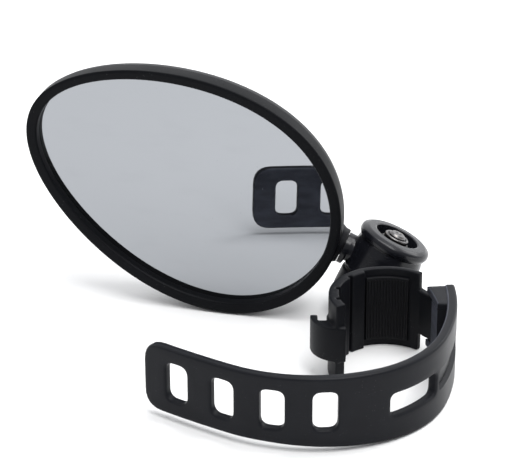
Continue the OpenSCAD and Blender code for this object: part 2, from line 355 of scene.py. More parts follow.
CLAMP_PLASTIC = Moulded("clamp_plastic", "clamp_plastic", (0.0062, 0.0067, 0.0085), 0.42, 0.1)
ARM_PLASTIC = Moulded(
    "arm_plastic", "arm_plastic", (0.0075, 0.0080, 0.0108), 0.25, 0.3, grain_depth=0.006
)
HOUSING_PLASTIC = Moulded(
    "housing_plastic", "housing_plastic", (0.007, 0.0074, 0.0092), 0.42, 0.1, grain_size=0.25
)
BEZEL_PLASTIC = Moulded("bezel_plastic", "bezel_plastic", (0.004, 0.0044, 0.0056), 0.44, 0.07)
# The strap's inner side is painted four to ten times lighter: painted light on that side.
SILICONE = Moulded(
    "silicone", "silicone", (0.0095, 0.0101, 0.0125), 0.36, 0.1, grain_depth=0.006, dust=0.15,
    inner_tone=10.0,
)
GRIP_RUBBER = Moulded("grip_rubber", "grip_rubber", (0.007, 0.0073, 0.0085), 0.6, 0.12)
NYLON = Moulded("nylon", "nylon", (0.55, 0.55, 0.50), 0.5, 0.4, dust=0.1)
DARK_NYLON = Moulded("dark_nylon", "nylon", (0.02, 0.02, 0.022), 0.45, 0.4, dust=0.1)
ZINC_STEEL = Plated("zinc_steel", "zinc_steel", (0.15, 0.147, 0.148), 0.2)
MIRROR_FACE = Silvered("mirror_face", "mirror_face", (0.315, 0.327, 0.345), 0.012)
FOAM = Cellular("foam", "foam", (0.30, 0.30, 0.28))


# ---------------------------------------------------------------- shapes


@dataclass
class Shape:
    """Points in millimetres and the faces between them."""

    points: list[Vector]
    faces: list[tuple[int, ...]]

    def moved(self, place: Matrix) -> "Shape":
        """The same shape, carried by that matrix."""
        return Shape([place @ p for p in self.points], self.faces)

    def __add__(self, other: "Shape") -> "Shape":
        """Both shapes as one."""
        first = len(self.points)
        shifted = [tuple(first + i for i in face) for face in other.faces]
        return Shape(self.points + other.points, self.faces + shifted)


def full_turn(steps: int) -> list[float]:
    """The angles that divide a full turn into that many steps."""
    return [2 * math.pi * i / steps for i in range(steps)]


def softened(corners: Sequence[tuple[float, float, float]], closed: bool = True) -> list[Vector]:
    """A flat outline with its corners rounded.

    Args:
        corners: Each corner as x, y and the radius that rounds it.
        closed: True for a loop. The two ends of an open line keep their places.

    Returns:
        The outline's points.
    """
    spots = [Vector(c[:2]) for c in corners]
    line: list[Vector] = []
    for i, (x, y, radius) in enumerate(corners):
        here = Vector((x, y))
        if radius <= 0 or (not closed and i in (0, len(corners) - 1)):
            line.append(here)
            continue
        before, after = spots[i - 1] - here, spots[(i + 1) % len(spots)] - here
        reach = radius / math.tan(before.angle(after) / 2)
        reach = min(reach, 0.49 * before.length, 0.49 * after.length)
        start, end = here + reach * before.normalized(), here + reach * after.normalized()
        for k in range(CORNER_STEPS + 1):
            t = k / CORNER_STEPS
            line.append((1 - t) ** 2 * start + 2 * t * (1 - t) * here + t * t * end)
    return line


def skin(rings: Sequence[Sequence[Vector]], closed: bool = False) -> Shape:
    """A surface through rings of points. A ring of one point is a pole.

    Args:
        rings: Rings of equally many points, or of one point at a pole.
        closed: True where the last ring joins the first.

    Returns:
        The closed shell.
    """
    points: list[Vector] = []
    index: list[list[int]] = []
    around = max(len(ring) for ring in rings)
    for ring in rings:
        first = len(points)
        points.extend(ring)
        index.append([first + (i if len(ring) > 1 else 0) for i in range(around)])
    faces = []
    pairs = zip(index, index[1:] + index[:1]) if closed else zip(index, index[1:])
    for a, b in pairs:
        for i in range(around):
            k = (i + 1) % around
            faces.append(tuple(dict.fromkeys((a[i], a[k], b[k], b[i]))))
    return Shape(points, faces)


def lathe(profile: Sequence[Vector], closed: bool = False, turns: int = TURNS) -> Shape:
    """A turned solid.

    Args:
        profile: Radius and height of each point of the half section.
        closed: True for a ring, whose section doesn't reach the axis.
        turns: Points round the solid.

    Returns:
        The solid about Z.
    """
    rings = []
    for radius, height in profile:
        if radius < 1e-6:
            rings.append([Vector((0, 0, height))])
            continue
        rings.append([
            Vector((radius * math.cos(a), radius * math.sin(a), height)) for a in full_turn(turns)
        ])
    return skin(rings, closed)


def oval_rings(sections: Sequence[Sequence[float]]) -> list[list[Vector]]:
    """Rings of a tube along Z. A section is its height, its middle's X and its two half widths."""
    return [
        [Vector((middle + across * math.cos(a), wide * math.sin(a), height)) for a in full_turn(TURNS)]
        for height, middle, across, wide in sections
    ]


def hexagon(across_flats: float, low: float, high: float, bore: float) -> Shape:
    """A hexagon nut or bolt head with chamfered corners.

    Args:
        across_flats: Width over two flats.
        low: Height of its lower face.
        high: Height of its upper face.
        bore: Radius of the hole through it.

    Returns:
        The solid about Z.
    """
    flat = across_flats / 2
    corner = flat / math.cos(math.pi / 6)
    chamfer = 0.5 * (corner - flat)
    levels = [(flat - 0.1, low), (flat + 0.05, low), (corner, low + chamfer)]
    levels += [(corner, high - chamfer), (flat + 0.05, high), (flat - 0.1, high)]
    rings = []
    for limit, height in [(bore, low), *levels, (bore, high)]:
        ring = []
        for angle in full_turn(TURNS):
            side = (angle + math.pi / 6) % (math.pi / 3) - math.pi / 6
            radius = min(flat / math.cos(side), limit)
            ring.append(Vector((radius * math.cos(angle), radius * math.sin(angle), height)))
        rings.append(ring)
    return skin(rings, closed=True)


def smooth_line(points: Sequence[Sequence[float]], steps: int) -> list[np.ndarray]:
    """A smooth curve through the points, with that many steps between each two."""
    spots = [np.array(p, float) for p in points]
    spots = [2 * spots[0] - spots[1], *spots, 2 * spots[-1] - spots[-2]]
    line = []
    for a, b, c, d in zip(spots, spots[1:], spots[2:], spots[3:]):
        for k in range(steps):
            t = k / steps
            cubic = (3 * b - a - 3 * c + d) * t**3 + (2 * a - 5 * b + 4 * c - d) * t**2
            line.append((2 * b + (c - a) * t + cubic) / 2)
    return [*line, spots[-2]]


@dataclass
class Plate:
    """A flat plate with holes, whose edges are rounded on both faces."""

    outline: list[Vector]
    holes: list[list[Vector]]
    thickness: float
    edge: float
    spacing: float = 1.6
    marks: list[list[Vector]] = field(default_factory=list)

    @staticmethod
    def dense(loop: Sequence[Vector], step: float = 0.7) -> np.ndarray:
        """The loop with no gap between its points longer than step."""
        points = []
        for a, b in zip(loop, [*loop[1:], loop[0]]):
            count = max(1, math.ceil((b - a).length / step))
            points += [a.lerp(b, k / count) for k in range(count)]
        return np.array([tuple(p) for p in points])

    @staticmethod
    def inside(points: np.ndarray, loop: np.ndarray) -> np.ndarray:
        """Which of the points lie in the loop."""
        nxt = np.roll(loop, -1, axis=0)
        x, y = points[:, :1], points[:, 1:]
        above = (loop[:, 1] > y) != (nxt[:, 1] > y)
        run = np.where(nxt[:, 1] == loop[:, 1], 1e-12, nxt[:, 1] - loop[:, 1])
        cross = x < (nxt[:, 0] - loop[:, 0]) * (y - loop[:, 1]) / run + loop[:, 0]
        return (above & cross).sum(1) % 2 == 1

    @staticmethod
    def distance(points: np.ndarray, loops: Sequence[np.ndarray]) -> np.ndarray:
        """Distance from each point to the nearest of the loops."""
        best = np.full(len(points), 1e9)
        for loop in loops:
            for a, b in zip(loop, np.roll(loop, -1, axis=0)):
                along = b - a
                t = np.clip(((points - a) @ along) / max(along @ along, 1e-12), 0, 1)
                best = np.minimum(best, np.linalg.norm(points - a - t[:, None] * along, axis=1))
        return best

    def shape(self, place: Callable[[float, float, float], Vector],
              dip: Callable[[np.ndarray], np.ndarray] | None = None) -> Shape:
        """Meshes the plate.

        Args:
            place: Takes a flat point and its depth under the first face to its real place.
            dip: Takes flat points to how far the first face is sunk there.

        Returns:
            The closed solid.
        """
        loops = [self.dense(loop) for loop in (self.outline, *self.holes)]
        rim = []
        for k, loop in enumerate(loops):
            ahead = np.roll(loop, -1, axis=0) - np.roll(loop, 1, axis=0)
            side = np.stack([-ahead[:, 1], ahead[:, 0]], 1)
            side /= np.linalg.norm(side, axis=1, keepdims=True)
            probe = self.inside(loop[:1] + 1e-3 * side[:1], loop)[0]
            side *= 1 if probe == (k == 0) else -1
            for turn in (0, 22.5, 45, 67.5, 90):
                rim.append(loop + side * self.edge * (1 - math.cos(math.radians(turn))))
        rim += [self.dense(loop) for loop in self.marks]
        low, high = loops[0].min(0), loops[0].max(0)
        across = np.arange(low[0], high[0], self.spacing)
        up = np.arange(low[1], high[1], self.spacing)
        grid = np.array([(x, y) for x in across for y in up])
        keep = self.inside(grid, loops[0])
        for hole in loops[1:]:
            keep &= ~self.inside(grid, hole)
        keep &= self.distance(grid, rim) > 0.35 * self.spacing
        grid = grid[keep]
        points, edges = [], []
        for ring in rim:
            first, count = len(points), len(ring)
            points += [Vector(p) for p in ring]
            edges += [(first + i, first + (i + 1) % count) for i in range(count)]
        points += [Vector(p) for p in grid]
        flat, _, triangles, *_ = geometry.delaunay_2d_cdt(points, edges, [], 0, 1e-5)
        spots = np.array([tuple(p) for p in flat])
        middles = np.array([spots[list(t)].mean(0) for t in triangles])
        solid = self.inside(middles, loops[0])
        for hole in loops[1:]:
            solid &= ~self.inside(middles, hole)
        triangles = [tuple(t) for t, good in zip(triangles, solid) if good]
        return self._thickened(spots, triangles, loops, place, dip)

    def _thickened(self, spots: np.ndarray, triangles: list[tuple[int, ...]],
                   loops: list[np.ndarray], place: Callable[[float, float, float], Vector],
                   dip: Callable[[np.ndarray], np.ndarray] | None) -> Shape:
        """The solid between the two faces that share those triangles."""
        near = np.clip(self.distance(spots, loops), 0, self.edge)
        fall = self.edge - np.sqrt(np.maximum(0, self.edge**2 - (self.edge - near) ** 2))
        sunk = fall + (dip(spots) if dip else 0)
        count = len(spots)
        flat = spots.tolist()
        top = [place(x, y, d) for (x, y), d in zip(flat, sunk.tolist())]
        bottom = [place(x, y, self.thickness - d) for (x, y), d in zip(flat, fall.tolist())]
        faces = list(triangles) + [tuple(count + i for i in reversed(t)) for t in triangles]
        seen: dict[tuple[int, int], bool] = {}
        for t in triangles:
            for a, b in zip(t, t[1:] + t[:1]):
                seen[(a, b)] = True
        rims = [(a, b) for a, b in seen if (b, a) not in seen]
        faces += [(b, a, count + a, count + b) for a, b in rims]
        return Shape(top + bottom, faces)


# ---------------------------------------------------------------- pieces


def placed(name: str, data: bpy.types.ID) -> bpy.types.Object:
    """Makes an object of that mesh, light or camera and puts it in the scene."""
    made = bpy.data.objects.new(name, data)
    bpy.context.scene.collection.objects.link(made)
    return made


def mesh_object(name: str, shape: Shape, smooth_under: float = 40) -> bpy.types.Object:
    """Makes an object at the origin.

    Args:
        name: The piece's name.
        shape: Its points in millimetres and faces.
        smooth_under: Edges that turn by more degrees than this stay sharp.

    Returns:
        The new object, with its normals outwards.
    """
    mesh = bpy.data.meshes.new(name)
    mesh.from_pydata([p * MM for p in shape.points], [], shape.faces)
    cleaned = bmesh.new()
    cleaned.from_mesh(mesh)
    bmesh.ops.remove_doubles(cleaned, verts=cleaned.verts, dist=MESH_MERGE)
    loose = [v for v in cleaned.verts if not v.link_faces]
    bmesh.ops.delete(cleaned, geom=loose, context="VERTS")
    bmesh.ops.recalc_face_normals(cleaned, faces=cleaned.faces)
    cleaned.to_mesh(mesh)
    cleaned.free()
    return finished(mesh, name, smooth_under)


def finished(mesh: bpy.types.Mesh, name: str, smooth_under: float) -> bpy.types.Object:
    """Shades a mesh smooth under that angle and links it as an object."""
    mesh.shade_smooth()
    mesh.set_sharp_from_angle(angle=math.radians(smooth_under))
    return placed(name, mesh)


def baked(source: bpy.types.Object, name: str, smooth_under: float = 180) -> bpy.types.Object:
    """Replaces a working object by a plain one that holds what its modifiers give."""
    bpy.context.view_layer.update()
    graph = bpy.context.evaluated_depsgraph_get()
    mesh = bpy.data.meshes.new_from_object(source.evaluated_get(graph))
    bpy.data.objects.remove(source)
    mesh.materials.clear()
    mesh.name = name
    return finished(mesh, name, smooth_under)


def united(name: str, first: Shape, second: Shape, smooth_under: float = 40) -> bpy.types.Object:
    """Two solids joined into one skin by an exact boolean."""
    body, tool = mesh_object(name + "_a", first), mesh_object(name + "_b", second)
    joined = body.modifiers.new("join", "BOOLEAN")
    joined.operation, joined.solver, joined.object = "UNION", "EXACT", tool
    made = baked(body, name, smooth_under)
    bpy.data.objects.remove(tool)
    return made


def moulded_copy(node: str, name: str, voxel: float, softening: int,
                 kept_share: float = 0.45) -> bpy.types.Object:
    """A CAD node's shape with the soft edges and small fillets of a moulding.

    Args:
        node: The CAD node.
        name: The new piece's name.
        voxel: Size of the remeshing grid in millimetres.
        softening: Rounds of smoothing.
        kept_share: Share of the remeshed faces that is kept.

    Returns:
        The new object.
    """
    mesh = frame["nodes"][node].data.copy()
    merged = bmesh.new()
    merged.from_mesh(mesh)
    bmesh.ops.remove_doubles(merged, verts=merged.verts, dist=CAD_MERGE)
    merged.to_mesh(mesh)
    merged.free()
    work = placed(name + "_work", mesh)
    remesh = work.modifiers.new("remesh", "REMESH")
    remesh.mode, remesh.voxel_size = "VOXEL", voxel * MM
    soften = work.modifiers.new("soften", "SMOOTH")
    soften.factor, soften.iterations = 0.5, softening
    thin = work.modifiers.new("thin", "DECIMATE")
    thin.ratio = kept_share
    return baked(work, name)


def dress(piece: bpy.types.Object, finish: Finish, body: Body, *nodes: str) -> None:
    """Gives a piece its finish and body, and hides the CAD nodes that it stands for."""
    piece.data.materials.append(finish.material)
    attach(piece, body.value)
    if nodes:
        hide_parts(*nodes)
    log.info("%s: %d faces on %s", piece.name, len(piece.data.polygons), body.value)


def dress_node(node: str, finish: Finish) -> None:
    """Gives a CAD node that stays in the scene its finish."""
    piece = frame["nodes"][node]
    piece.data.materials.clear()
    piece.data.materials.append(finish.material)
    log.info("%s: the CAD's own mesh", node)


def joint(name: str) -> dict:
    """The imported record's joint of that name."""
    return next(j for j in frame["joints"] if j["name"] == name)


# ---------------------------------------------------------------- geometry nodes


class Pattern(Tree):
    """A Geometry Nodes tree that repeats one small piece along a path."""

    def __init__(self, name: str, sizes: dict[str, float]) -> None:
        """Makes the tree with one float input for each named size."""
        super().__init__(bpy.data.node_groups.new(name, "GeometryNodeTree"))
        self.sizes = sizes
        sockets = self.tree.interface
        for size in sizes:
            sockets.new_socket(size, in_out="INPUT", socket_type="NodeSocketFloat")
        sockets.new_socket("Geometry", in_out="OUTPUT", socket_type="NodeSocketGeometry")
        self.given = self.node("NodeGroupInput", {}, {}).outputs

    def made(self, kind: str, **inputs: object) -> bpy.types.NodeSocket:
        """Adds a node of the tree.

        Args:
            kind: The node's type.
            inputs: What each socket gets, with underscores for the spaces in its name. A text
                is the name of one of the tree's sizes.

        Returns:
            The node's first output.
        """
        fed = {
            key.replace("_", " "): self.given[value] if isinstance(value, str) else value
            for key, value in inputs.items()
        }
        return self.node(kind, {}, fed).outputs[0]

    def repeat(self, name: str, points: bpy.types.NodeSocket, piece: bpy.types.NodeSocket,
               finish: Finish, place: Matrix) -> bpy.types.Object:
        """Ends the tree with one copy of the piece on each point.

        Args:
            name: The new object's name.
            points: The path's points.
            piece: The piece that is repeated.
            finish: The finish of every copy.
            place: The frame in which the tree works, in millimetres.

        Returns:
            The result as a plain object at the origin.
        """
        copies = self.made("GeometryNodeInstanceOnPoints", Points=points, Instance=piece)
        real = self.made("GeometryNodeRealizeInstances", Geometry=copies)
        painted = self.made("GeometryNodeSetMaterial", Geometry=real, Material=finish.material)
        self.node("NodeGroupOutput", {}, {0: painted})
        work = placed(name + "_work", bpy.data.meshes.new(name + "_work"))
        modifier = work.modifiers.new("pattern", "NODES")
        modifier.node_group = self.tree
        for socket in self.tree.interface.items_tree:
            if socket.in_out == "INPUT":
                modifier[socket.identifier] = self.sizes[socket.name]
        result = baked(work, name, 50)
        result.data.transform(Matrix.Scale(MM, 4) @ place)
        return result


# ---------------------------------------------------------------- sub-assemblies


@dataclass
class Knuckle:
    """The joint between clamp and arm: where its bolt stands, and its hardware's sizes."""

    cap_radius: float = 11.2
    cap_height: float = 3.7
    barrel_radius: float = 10.8
    barrel_height: float = 14.6
    recess_radius: float = 6.8
    recess_depth: float = 5.0
    bolt_radius: float = 2.5
    boss_height: float = 6.4
    washer: float = 0.8
    gap: float = 0.05
    nut_flats: float = 8.0
    nut_height: float = 4.0
    head_height: float = 3.4
    tip_height: float = 0.75
    tip_chamfer: float = 0.5
    thread_pitch: float = 0.8
    thread_ridge: float = 0.16
    thread_turns: int = 6

    @cached_property
    def place(self) -> Matrix:
        """The frame of the bolt: its origin in the cap's top, Z along the bolt."""
        pivot = joint("arm_pivot")
        spot, axis = Vector(pivot["pos_m"]) / MM, Vector(pivot["axis"])
        lean, turn = math.acos(axis.z), math.atan2(axis.y, axis.x)
        return Matrix.Translation(spot) @ Euler((0, lean, turn)).to_matrix().to_4x4()

    @property
    def boss_top(self) -> float:
        """Height of the face that the arm turns on."""
        return -self.barrel_height - self.washer - 2 * self.gap

    def bolt(self) -> None:
        """Makes the bolt with its chamfered end and hexagon head."""
        foot = self.boss_top - self.boss_height
        tip, chamfer, r = self.tip_height, self.tip_chamfer, self.bolt_radius
        shank = [(0, foot + 1, 0), (r, foot + 1, 0), (r, tip - chamfer, 0.15)]
        shank += [(r - chamfer, tip, 0.1), (1.1, tip, 0.1), (0.9, tip - 0.25, 0.1), (0, tip - 0.25, 0)]
        solid = lathe(softened(shank, closed=False), turns=64)
        head = hexagon(self.nut_flats - 0.1, foot, foot + self.head_height, r - 0.4)
        piece = mesh_object("bolt_with_head", (solid + head).moved(self.place), 30)
        dress(piece, ZINC_STEEL, Body.CLAMP, "pivot_bolt")

    def thread(self) -> None:
        """Makes the thread's ridges on the bolt's free end."""
        sizes = {
            "Radius": self.bolt_radius, "Pitch": self.thread_pitch,
            "Ridge": self.thread_ridge, "Turns": self.thread_turns,
        }
        pattern = Pattern("thread_ridges", sizes)
        step = pattern.made("ShaderNodeCombineXYZ", Z="Pitch")
        line = pattern.made("GeometryNodeMeshLine", Count="Turns", Offset=step)
        circle = pattern.made("GeometryNodeCurvePrimitiveCircle", Resolution=64, Radius="Radius")
        section = pattern.made("GeometryNodeCurvePrimitiveCircle", Resolution=8, Radius="Ridge")
        ridge = pattern.made("GeometryNodeCurveToMesh", Curve=circle, Profile_Curve=section)
        lowest = 0.1 - (self.thread_turns - 1) * self.thread_pitch
        place = self.place @ Matrix.Translation((0, 0, lowest))
        thread = pattern.repeat("bolt_thread", line, ridge, ZINC_STEEL, place)
        dress(thread, ZINC_STEEL, Body.CLAMP)

    def nut(self) -> None:
        """Makes the lock nut: hexagon, rolled collar and the insert that grips the thread."""
        low = -self.recess_depth + self.gap + 1
        high = low + self.nut_height
        bore = self.bolt_radius + 0.02
        collar_foot = high - 1.5
        collar = [(bore, collar_foot, 0), (3.85, collar_foot, 0), (3.85, high - 0.35, 0.5)]
        collar += [(3.45, high - 0.1, 0.2), (3.1, high - 0.3, 0.15), (3.05, collar_foot + 0.5, 0)]
        collar += [(bore, collar_foot + 0.5, 0)]
        solid = hexagon(self.nut_flats, low, collar_foot, bore)
        steel = mesh_object(
            "lock_nut_steel", (solid + lathe(softened(collar), closed=True)).moved(self.place), 30
        )
        dress(steel, ZINC_STEEL, Body.CLAMP, "lock_nut")
        ring = [(bore + 0.08, high - 0.95, 0.1), (3.02, high - 0.95, 0), (3.02, high - 0.45, 0.1)]
        ring += [(bore + 0.08, high - 0.6, 0.15)]
        insert = lathe(softened(ring), closed=True)
        dress(mesh_object("nut_insert", insert.moved(self.place)), DARK_NYLON, Body.CLAMP)

    def washers(self) -> None:
        """Makes the plain washer under the nut and the friction washer under the arm."""
        discs = {
            "washer_under_nut": (5.4, -self.recess_depth + self.gap, 1.0, ZINC_STEEL, "nut_washer"),
            "washer_under_arm": (
                self.barrel_radius - 0.6, self.boss_top, self.washer, DARK_NYLON, "friction_washer"
            ),
        }
        for name, (outer, low, height, finish, node) in discs.items():
            bore, soft = self.bolt_radius + 0.03, 0.18
            section = [(bore, low, soft), (outer, low, soft), (outer, low + height, soft)]
            ring = lathe(softened([*section, (bore, low + height, soft)]), closed=True)
            dress(mesh_object(name, ring.moved(self.place), 50), finish, Body.CLAMP, node)

    def build(self) -> None:
        """Makes all the hardware of the knuckle."""
        self.bolt()
        self.thread()
        self.nut()
        self.washers()


@dataclass
class Arm:
    """The swivel arm: knuckle cap, barrel and neck in one moulding."""

    knuckle: Knuckle
    neck_radius: float = 4.3
    sleeve_radius: float = 4.5
    sleeve_drop: float = 1.3
    sleeve_length: float = 1.8
    neck_length: float = 13.0
    neck_drop: float = 10.2
    neck_turn: float = 155.0
    journal_radius: float = 3.4
    journal_length: float = 8.0

    @cached_property
    def neck_place(self) -> Matrix:
        """The frame of the neck: its origin on the bolt, Z towards the mirror head."""
        drop = Matrix.Translation((0, 0, -self.neck_drop))
        turn = Euler((0, math.pi / 2, math.radians(self.neck_turn))).to_matrix().to_4x4()
        return self.knuckle.place @ drop @ turn

    def knuckle_shape(self) -> Shape:
        """The cap with its crowned top, rolled edge and recess, and the barrel under it."""
        k = self.knuckle
        bore, inner, low = k.bolt_radius + 0.05, k.recess_radius, -k.barrel_height
        profile = [
            (bore, low, 0.1), (bore, -k.recess_depth, 0.1), (inner - 0.1, -k.recess_depth, 0.3),
            (inner, -0.15, 0.25), (inner + 0.5, 0, 0.3), (k.cap_radius - 1.7, -0.08, 1.6),
            (k.cap_radius - 0.15, -0.9, 1.3), (k.cap_radius, -2.2, 0.8),
            (k.cap_radius - 0.25, -3.0, 0.5), (k.barrel_radius - 0.5, -k.cap_height, 0.5),
            (k.barrel_radius - 0.05, -k.cap_height - 2.4, 0.8), (k.barrel_radius - 0.1, low + 0.4, 0.6),
            (k.barrel_radius - 0.8, low, 0.4),
        ]
        return lathe(softened(profile), closed=True, turns=128).moved(k.place)

    def neck_shape(self) -> Shape:
        """The neck, its lower and thicker end, and the journal that turns in the head's socket."""
        r, end, journal = self.neck_radius, self.neck_length, self.journal_radius
        thick = end - self.sleeve_length
        long = (r + self.sleeve_radius + self.sleeve_drop) / 2
        drop = long - r
        far = end + self.journal_length
        sections = [
            (5.2, 0, r + 0.5, r + 0.5), (6.6, 0, r + 0.3, r + 0.3), (8.2, 0, r, r),
            (thick - 0.1, 0, r, r), (thick + 0.1, 0.5 * drop, 0.5 * (r + long), r + 0.05),
            (thick + 0.4, drop, long, self.sleeve_radius), (end - 0.1, drop, long, self.sleeve_radius),
            (end, drop, long - 0.1, self.sleeve_radius - 0.1), (end, 0, journal, journal),
            (far - 0.3, 0, journal, journal), (far, 0, journal - 0.3, journal - 0.3),
        ]
        poles = [[Vector((0, 0, sections[0][0]))], [Vector((0, 0, far))]]
        return skin([poles[0], *oval_rings(sections), poles[1]]).moved(self.neck_place)

    def build(self) -> None:
        """Makes the moulding and dresses the neck's small hardware."""
        arm = united("arm_moulding", self.knuckle_shape(), self.neck_shape(), 34)
        dress(arm, ARM_PLASTIC, Body.ARM, "swivel_arm")
        dress_node("neck_screw", ZINC_STEEL)
        dress_node("neck_washer", ZINC_STEEL)


@dataclass
class Clamp:
    """The half-round clamp with its hook, lug and the boss under the arm."""

    seat_radius: float = 14.0
    wall_radius: float = 15.2
    pad_start: float = 62.0
    pad_end: float = 112.0
    pad_height: float = 20.7
    rib_count: int = 13
    rib_radius: float = 0.34
    rib_margin: float = 3.0

    def saddle(self) -> None:
        """Makes the clamp's moulding with soft edges."""
        saddle = moulded_copy("clamp_saddle", "saddle_moulding", 0.27, 7)
        dress(saddle, CLAMP_PLASTIC, Body.CLAMP, "clamp_saddle")

    def pad(self) -> None:
        """Makes the rubber pad."""
        inner, soft = self.seat_radius + 0.3, 0.35
        half = self.pad_height / 2
        section = [(inner, -half, soft), (self.wall_radius - 0.02, -half, 0.1)]
        section += [(self.wall_radius - 0.02, half, 0.1), (inner, half, soft)]
        steps = 40
        profile = softened(section)
        rings = []
        for i in range(steps + 1):
            a = math.radians(self.pad_start + i / steps * (self.pad_end - self.pad_start))
            rings.append([Vector((r * math.cos(a), r * math.sin(a), z)) for r, z in profile])
        ends = [[sum(ring, Vector()) / len(ring)] for ring in (rings[0], rings[-1])]
        pad = skin([ends[0], *rings, ends[1]])
        dress(mesh_object("pad_base", pad), GRIP_RUBBER, Body.CLAMP, "grip_pad")

    def ribs(self) -> None:
        """Makes the ribs that grip the handlebar."""
        sweep = self.pad_end - self.pad_start - 2 * self.rib_margin
        sizes = {
            "Seat radius": self.seat_radius + self.rib_radius,
            "Start": math.radians(self.pad_start + self.rib_margin),
            "Sweep": math.radians(sweep),
            "Count": self.rib_count,
            "Rib radius": self.rib_radius,
            "Length": self.pad_height - 1.6,
        }
        pattern = Pattern("grip_ribs", sizes)
        arc = pattern.made(
            "GeometryNodeCurveArc",
            Resolution="Count", Radius="Seat radius", Start_Angle="Start", Sweep_Angle="Sweep",
        )
        rib = pattern.made(
            "GeometryNodeMeshCylinder", Vertices=12, Radius="Rib radius", Depth="Length"
        )
        ribs = pattern.repeat("pad_ribs", arc, rib, GRIP_RUBBER, Matrix())
        dress(ribs, GRIP_RUBBER, Body.CLAMP)

    def build(self) -> None:
        """Makes the clamp's pieces."""
        self.saddle()
        self.pad()
        self.ribs()


@dataclass
class Head:
    """The mirror head: egg-shaped housing, bezel, mirror and the socket on the neck."""

    arm: Arm
    centre: tuple[float, float, float] = (-60.0, 42.3, 27.9)
    turn: float = 13.3
    tilt: float = 2.8
    egg_turn: float = -22.8
    half_length: float = 47.4
    half_width: float = 32.0
    egg: float = 0.17
    bezel_width: float = 3.3
    lip: float = 3.4
    glass: float = 2.0
    depth: float = 15.0
    wall: float = 1.8
    around: int = 180
    socket_end: float = 24.0
    socket_radius: float = 7.2
    socket_bore: float = 4.65
    neck_gap: float = 0.12

    @cached_property
    def place(self) -> Matrix:
        """The frame of the mirror: its origin in the mirror's face, Z out of it."""
        lean = Euler((math.radians(90 - self.tilt), 0, -math.radians(self.turn)))
        long_axis = Matrix.Rotation(math.radians(self.egg_turn), 4, "Z")
        return Matrix.Translation(self.centre) @ lean.to_matrix().to_4x4() @ long_axis

    def ring(self, offset: float, height: float, scale: float = 1.0) -> list[Vector]:
        """The egg outline moved outwards by offset, at that height."""
        points = []
        for t in full_turn(self.around):
            x = (self.half_length + offset) * math.cos(t)
            y = (self.half_width + offset) * math.sin(t) * (1 + self.egg * math.cos(t))
            points.append(self.place @ Vector((x * scale, y * scale, height)))
        return points

    def dish(self, line: Sequence[Sequence[float]]) -> list[list[Vector]]:
        """Rings of a dish wall from its front to the pole in its back."""
        rings = [self.ring(offset, height) for offset, height in line]
        offset, height = line[-1]
        rings += [self.ring(offset, height, scale) for scale in (0.75, 0.5, 0.25)]
        return [*rings, [self.place @ Vector((0, 0, height))]]

    def housing(self) -> None:
        """Makes the back shell with its wall."""
        edge, front, soft = self.bezel_width - 0.1, -self.glass - 0.05, 0.35
        outer = [(edge - soft, front), (edge - 0.1, front - 0.12), (edge - 0.05, front - soft)]
        outer += [(edge - 0.6, -5), (edge - 1.9, -8), (edge - 4, -11), (edge - 7.9, -13.4)]
        outer += [(edge - 14.9, -self.depth + 0.35), (edge - 21.9, -self.depth)]
        inner = [(1.3, front), (1.3, -4.3), (-0.4, -4.6), (-0.8, -7.4), (-2.9, -10.2)]
        inner += [(-7.2, -12), (-12.7, -self.depth + self.wall)]
        rings = self.dish(smooth_line(outer, 5))[::-1] + self.dish(smooth_line(inner, 3))
        shell = mesh_object("housing_shell", skin(rings))
        dress(shell, HOUSING_PLASTIC, Body.HEAD, "back_shell")

    def bezel(self) -> None:
        """Makes the ring whose lip holds the mirror."""
        wide, lip, low, lap = self.bezel_width, self.lip, -self.glass, 1.0
        section = [
            (wide, low, 0.3), (wide, lip - 0.1, 0.75), (wide - 1.0, lip, 0.5), (0.35, lip - 0.15, 0.5),
            (0, lip - 0.7, 0.3), (0, 0.02, 0.08), (lap, 0.02, 0), (lap, low, 0.1),
        ]
        rings = [self.ring(offset, height) for offset, height in softened(section)]
        dress(mesh_object("bezel", skin(rings, closed=True)), BEZEL_PLASTIC, Body.HEAD, "bezel_ring")

    def socket(self) -> None:
        """Makes the socket that turns on the neck's journal."""
        start, far, wide = self.arm.neck_length, self.socket_end, self.socket_radius
        bore, hole, face = self.socket_bore, self.arm.journal_radius + 0.2, start + self.neck_gap
        sections = [
            (far, 0, 1.6, 1.6), (far - 2.2, 0, 1.6, 1.6), (far - 2.2, 0, bore, bore),
            (start + 0.5, 0, bore, bore), (start + 0.45, 0, hole, hole), (face, 0, hole, hole),
            (face, 0.5, 5.2, 4.7), (start + 0.25, 0.5, 5.4, 4.95),
            (start + 1.6, 0.9, 5.9, 5.2), (start + 3.2, 0.9, 6.6, 5.6), (start + 5.4, 0.2, 7.1, 6.8),
            (start + 6.4, 0, wide, wide), (far - 0.4, 0, wide, wide), (far, 0, wide - 0.4, wide - 0.4),
        ]
        solid = skin(oval_rings(sections), closed=True).moved(self.arm.neck_place)
        dress(mesh_object("head_socket", solid), HOUSING_PLASTIC, Body.HEAD, "neck_socket")

    def build(self) -> None:
        """Makes the head's pieces and dresses those that stay as the CAD has them."""
        self.housing()
        self.bezel()
        self.socket()
        kept = {
            "mirror_glass": MIRROR_FACE, "carrier_plate": HOUSING_PLASTIC,
            "foam_pad": FOAM, "friction_bush": NYLON,
        }
        for node, finish in kept.items():
            dress_node(node, finish)


